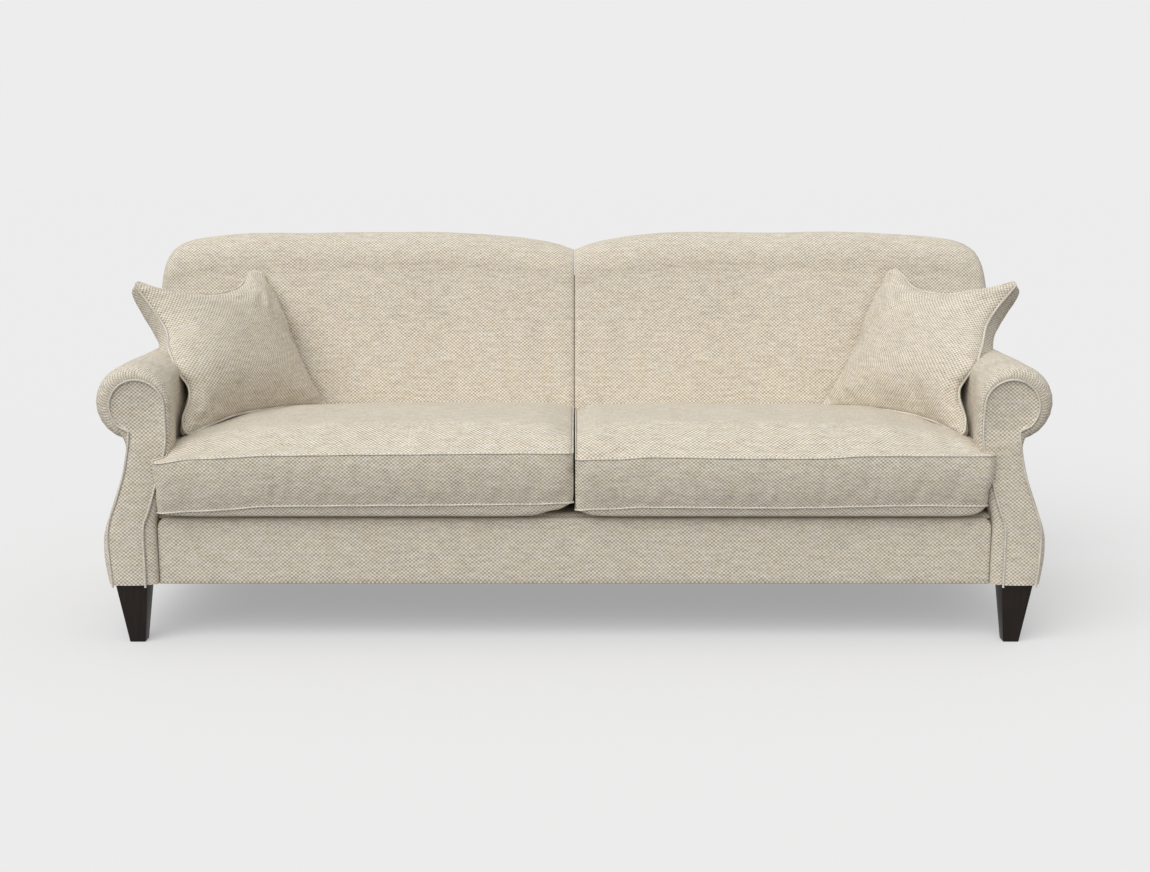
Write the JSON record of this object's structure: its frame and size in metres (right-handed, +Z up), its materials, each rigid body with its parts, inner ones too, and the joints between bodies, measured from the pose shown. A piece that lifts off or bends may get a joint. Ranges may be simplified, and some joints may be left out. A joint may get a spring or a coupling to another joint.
{
  "type": "english roll arm sofa",
  "caption": "Roll arm sofa with a tight arched back, loose boxed seat cushions, scatter cushions in the corners and short tapered legs, in a pale hopsack weave.",
  "frame": {"origin": "on the floor, at the middle of the sofa's length and depth", "axes": "+Z up, +Y towards the back, +X along the length, to the right in a front view"},
  "size_m": [2.2, 0.8999, 0.915],
  "materials": {
    "weave": "coarse two-tone hopsack weave, cream and tan",
    "lining": "plain black platform and dust cloth",
    "filling": "cushion foam and fibre pad",
    "frame_timber": "planed hardwood, unfinished",
    "stained_wood": "very dark brown stain under satin lacquer",
    "spring_steel": "serpentine spring wire"
  },
  "bodies": {
    "frame": {"front_seat_rail": "frame_timber", "back_seat_rail": "frame_timber", "back_base_rail": "frame_timber", "centre_seat_rail": "frame_timber", "seat_deck": "lining", "dust_cover": "lining", "front_border": "weave", "back_top_rail": "frame_timber", "centre_back_post": "frame_timber", "outside_back": "weave", "left_seat_spring_1": "spring_steel", "left_seat_spring_2": "spring_steel", "left_seat_spring_3": "spring_steel", "left_seat_spring_4": "spring_steel", "left_seat_rail": "frame_timber", "left_scroll_board": "frame_timber", "left_arm_board": "frame_timber", "left_arm_stump": "frame_timber", "left_arm_tacking_rail": "frame_timber", "left_arm_cover": "weave", "left_outside_arm": "weave", "left_arm_facing": "weave", "left_back_post": "frame_timber", "left_back_tacking_rail": "frame_timber", "left_back_web_1": "lining", "left_back_web_2": "lining", "left_inside_back": "weave", "front_left_leg": "stained_wood", "front_left_leg_block": "frame_timber", "rear_left_leg": "stained_wood", "rear_left_leg_block": "frame_timber", "right_seat_spring_1": "spring_steel", "right_seat_spring_2": "spring_steel", "right_seat_spring_3": "spring_steel", "right_seat_spring_4": "spring_steel", "right_seat_rail": "frame_timber", "right_scroll_board": "frame_timber", "right_arm_board": "frame_timber", "right_arm_stump": "frame_timber", "right_arm_tacking_rail": "frame_timber", "right_arm_cover": "weave", "right_outside_arm": "weave", "right_arm_facing": "weave", "right_back_post": "frame_timber", "right_back_tacking_rail": "frame_timber", "right_back_web_1": "lining", "right_back_web_2": "lining", "right_inside_back": "weave", "front_right_leg": "stained_wood", "front_right_leg_block": "frame_timber", "rear_right_leg": "stained_wood", "rear_right_leg_block": "frame_timber"},
    "left_seat_cushion": {"left_seat_cushion_cover": "weave", "left_seat_cushion_core": "filling"},
    "left_scatter_cushion": {"left_scatter_cushion_cover": "weave", "left_scatter_cushion_pad": "filling"},
    "right_seat_cushion": {"right_seat_cushion_cover": "weave", "right_seat_cushion_core": "filling"},
    "right_scatter_cushion": {"right_scatter_cushion_cover": "weave", "right_scatter_cushion_pad": "filling"}
  },
  "joints": [
    {"name": "left_seat_cushion_lift", "type": "slide", "parent": "frame", "child": "left_seat_cushion", "axis": [0, 0, 1], "range_m": [0, 0.35]},
    {"name": "left_scatter_cushion_lift", "type": "slide", "parent": "left_seat_cushion", "child": "left_scatter_cushion", "axis": [0, 0, 1], "range_m": [0, 0.4]},
    {"name": "right_seat_cushion_lift", "type": "slide", "parent": "frame", "child": "right_seat_cushion", "axis": [0, 0, 1], "range_m": [0, 0.35]},
    {"name": "right_scatter_cushion_lift", "type": "slide", "parent": "right_seat_cushion", "child": "right_scatter_cushion", "axis": [0, 0, 1], "range_m": [0, 0.4]}
  ]
}
